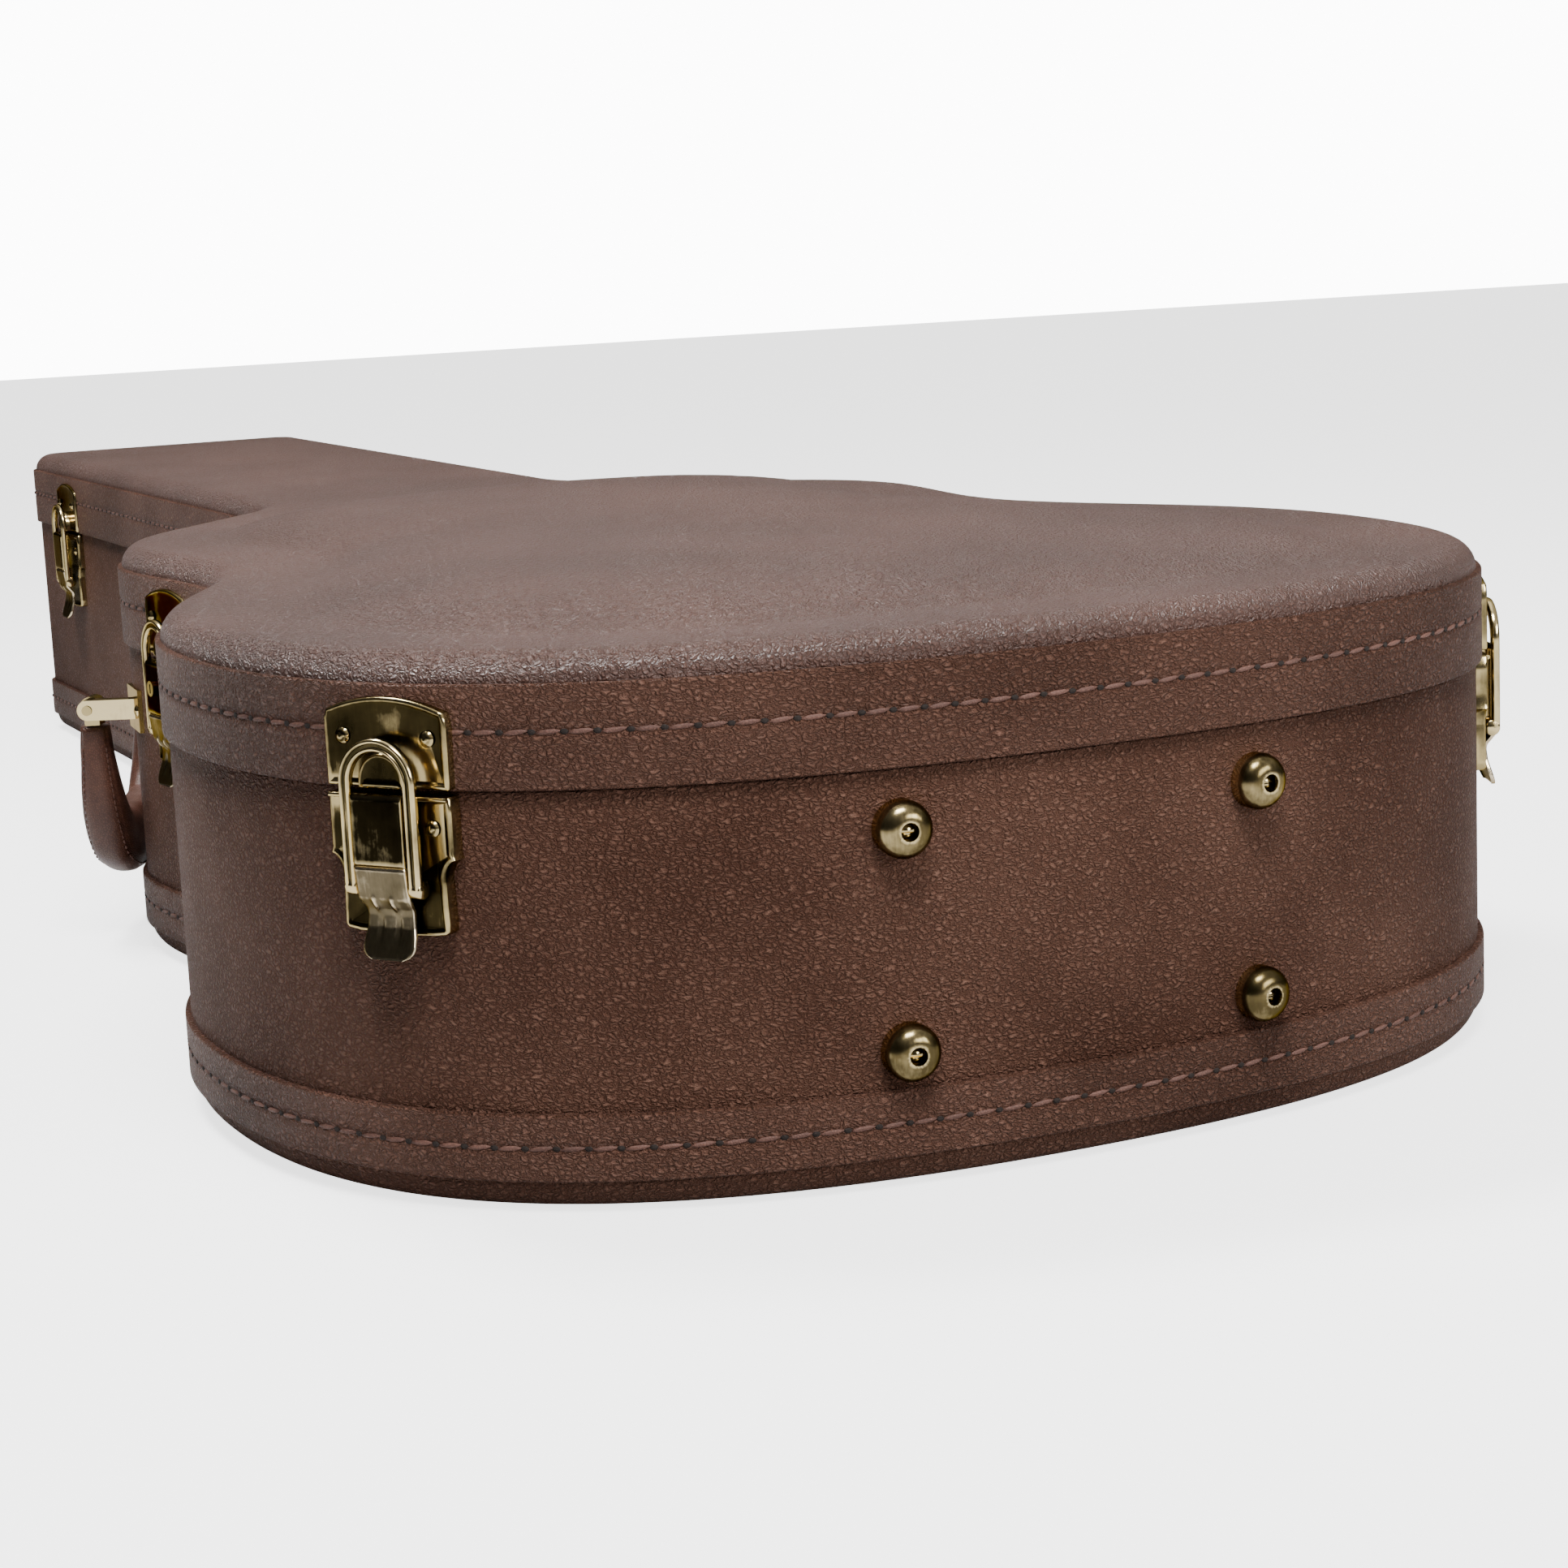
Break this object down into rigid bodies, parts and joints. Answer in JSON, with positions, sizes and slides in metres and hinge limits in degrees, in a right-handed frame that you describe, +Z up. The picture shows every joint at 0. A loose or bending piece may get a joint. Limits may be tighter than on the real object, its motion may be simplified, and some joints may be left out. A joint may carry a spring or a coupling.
{
  "type": "guitar case",
  "caption": "Hardshell acoustic guitar case with a curved, arch-topped lid, drawbolt latches, a hanging leather-covered handle, tail feet and a padded interior.",
  "frame": {"origin": "on the underside, on the centre line, at mid length", "axes": "+Z up with the case lying on its back, +Y from the tail to the head end, +X towards the hinge side"},
  "size_m": [0.4512, 1.0973, 0.172],
  "materials": {
    "covered_plywood": "plywood covered in pebbled brown vinyl",
    "vinyl_band": "pebbled brown vinyl, stitched",
    "leather": "smooth dark brown leather",
    "plush": "short-pile plush over foam",
    "antique_brass": "antique brass plate"
  },
  "bodies": {
    "base": {"base_wall_tail": "covered_plywood", "base_wall_right": "covered_plywood", "base_wall_left": "covered_plywood", "base_wall_head": "covered_plywood", "bottom_panel": "covered_plywood", "bottom_neck_panel": "covered_plywood", "base_band": "vinyl_band", "valance": "plush", "floor_pad": "plush", "base_wall_pad": "plush", "neck_cradle": "plush", "compartment_frame": "plush", "tail_feet": "antique_brass", "foot_screws": "antique_brass", "hinge_base_leaves": "antique_brass", "hinge_pins": "antique_brass", "handle_brackets": "antique_brass", "bracket_screws": "antique_brass", "handle_pins": "antique_brass", "plate_tail_left": "antique_brass", "plate_waist_left": "antique_brass", "plate_head_left": "antique_brass", "plate_tail_right": "antique_brass", "lever_pins": "antique_brass", "plate_rivets": "antique_brass"},
    "lid": {"lid_wall_tail": "covered_plywood", "lid_wall_right": "covered_plywood", "lid_wall_left": "covered_plywood", "lid_wall_head": "covered_plywood", "lid_band": "vinyl_band", "lid_panel": "covered_plywood", "lid_lining": "plush", "lid_wall_pad": "plush", "hinge_lid_leaves": "antique_brass", "keeper_tail_left": "antique_brass", "keeper_waist_left": "antique_brass", "keeper_head_left": "antique_brass", "keeper_tail_right": "antique_brass", "keeper_rivets": "antique_brass"},
    "handle": {"handle_grip": "leather", "handle_loops": "antique_brass"},
    "compartment_lid": {"compartment_lid": "plush", "pull_tab": "leather"},
    "lever_tail_left": {"lever_tail_left": "antique_brass", "hoop_pin_tail_left": "antique_brass"},
    "hoop_tail_left": {"hoop_tail_left": "antique_brass"},
    "lever_waist_left": {"lever_waist_left": "antique_brass", "hoop_pin_waist_left": "antique_brass"},
    "hoop_waist_left": {"hoop_waist_left": "antique_brass"},
    "lever_head_left": {"lever_head_left": "antique_brass", "hoop_pin_head_left": "antique_brass"},
    "hoop_head_left": {"hoop_head_left": "antique_brass"},
    "lever_tail_right": {"lever_tail_right": "antique_brass", "hoop_pin_tail_right": "antique_brass"},
    "hoop_tail_right": {"hoop_tail_right": "antique_brass"},
    "lock": {"lock_plug": "antique_brass"}
  },
  "joints": [
    {"name": "lid_hinge", "type": "hinge", "parent": "base", "child": "lid", "pos_m": [0.22338, -0.34, 0.122], "axis": [-0.1547, 0.988, 0], "range_deg": [0, 105]},
    {"name": "handle_pivot", "type": "hinge", "parent": "base", "child": "handle", "pos_m": [-0.16569, -0.03927, 0.097], "axis": [0.454, 0.891, 0], "range_deg": [0, 150]},
    {"name": "compartment_hinge", "type": "hinge", "parent": "base", "child": "compartment_lid", "pos_m": [0.056, 0.24, 0.0625], "axis": [0, 1, 0], "range_deg": [0, 38]},
    {"name": "lever_tail_left", "type": "hinge", "parent": "base", "child": "lever_tail_left", "pos_m": [-0.19281, -0.4838, 0.1196], "axis": [-0.5876, 0.8092, 0], "range_deg": [0, 95]},
    {"name": "hoop_tail_left", "type": "hinge", "parent": "lever_tail_left", "child": "hoop_tail_left", "pos_m": [-0.19232, -0.48345, 0.095], "axis": [-0.5876, 0.8092, 0], "range_deg": [-240, 0]},
    {"name": "lever_waist_left", "type": "hinge", "parent": "base", "child": "lever_waist_left", "pos_m": [-0.17476, -0.15119, 0.1196], "axis": [-0.1348, 0.9909, 0], "range_deg": [0, 95]},
    {"name": "hoop_waist_left", "type": "hinge", "parent": "lever_waist_left", "child": "hoop_waist_left", "pos_m": [-0.17416, -0.15111, 0.095], "axis": [-0.1348, 0.9909, 0], "range_deg": [-240, 0]},
    {"name": "lock_turn", "type": "hinge", "parent": "lever_waist_left", "child": "lock", "pos_m": [-0.16762, -0.15022, 0.112], "axis": [-0.9909, -0.1348, 0], "range_deg": [0, 90]},
    {"name": "lever_head_left", "type": "hinge", "parent": "base", "child": "lever_head_left", "pos_m": [-0.08602, 0.44491, 0.1196], "axis": [-0.0144, 0.9999, 0], "range_deg": [0, 95]},
    {"name": "hoop_head_left", "type": "hinge", "parent": "lever_head_left", "child": "hoop_head_left", "pos_m": [-0.08542, 0.44492, 0.095], "axis": [-0.0144, 0.9999, 0], "range_deg": [-240, 0]},
    {"name": "lever_tail_right", "type": "hinge", "parent": "base", "child": "lever_tail_right", "pos_m": [0.21038, -0.45379, 0.1196], "axis": [-0.4126, -0.9109, 0], "range_deg": [0, 95]},
    {"name": "hoop_tail_right", "type": "hinge", "parent": "lever_tail_right", "child": "hoop_tail_right", "pos_m": [0.20983, -0.45355, 0.095], "axis": [-0.4126, -0.9109, 0], "range_deg": [-240, 0]}
  ],
  "couplings": [
    {"joint": "hoop_tail_left", "follows": "lever_tail_left", "ratio": -2.4},
    {"joint": "hoop_waist_left", "follows": "lever_waist_left", "ratio": -2.4},
    {"joint": "hoop_head_left", "follows": "lever_head_left", "ratio": -2.4},
    {"joint": "hoop_tail_right", "follows": "lever_tail_right", "ratio": -2.4}
  ]
}
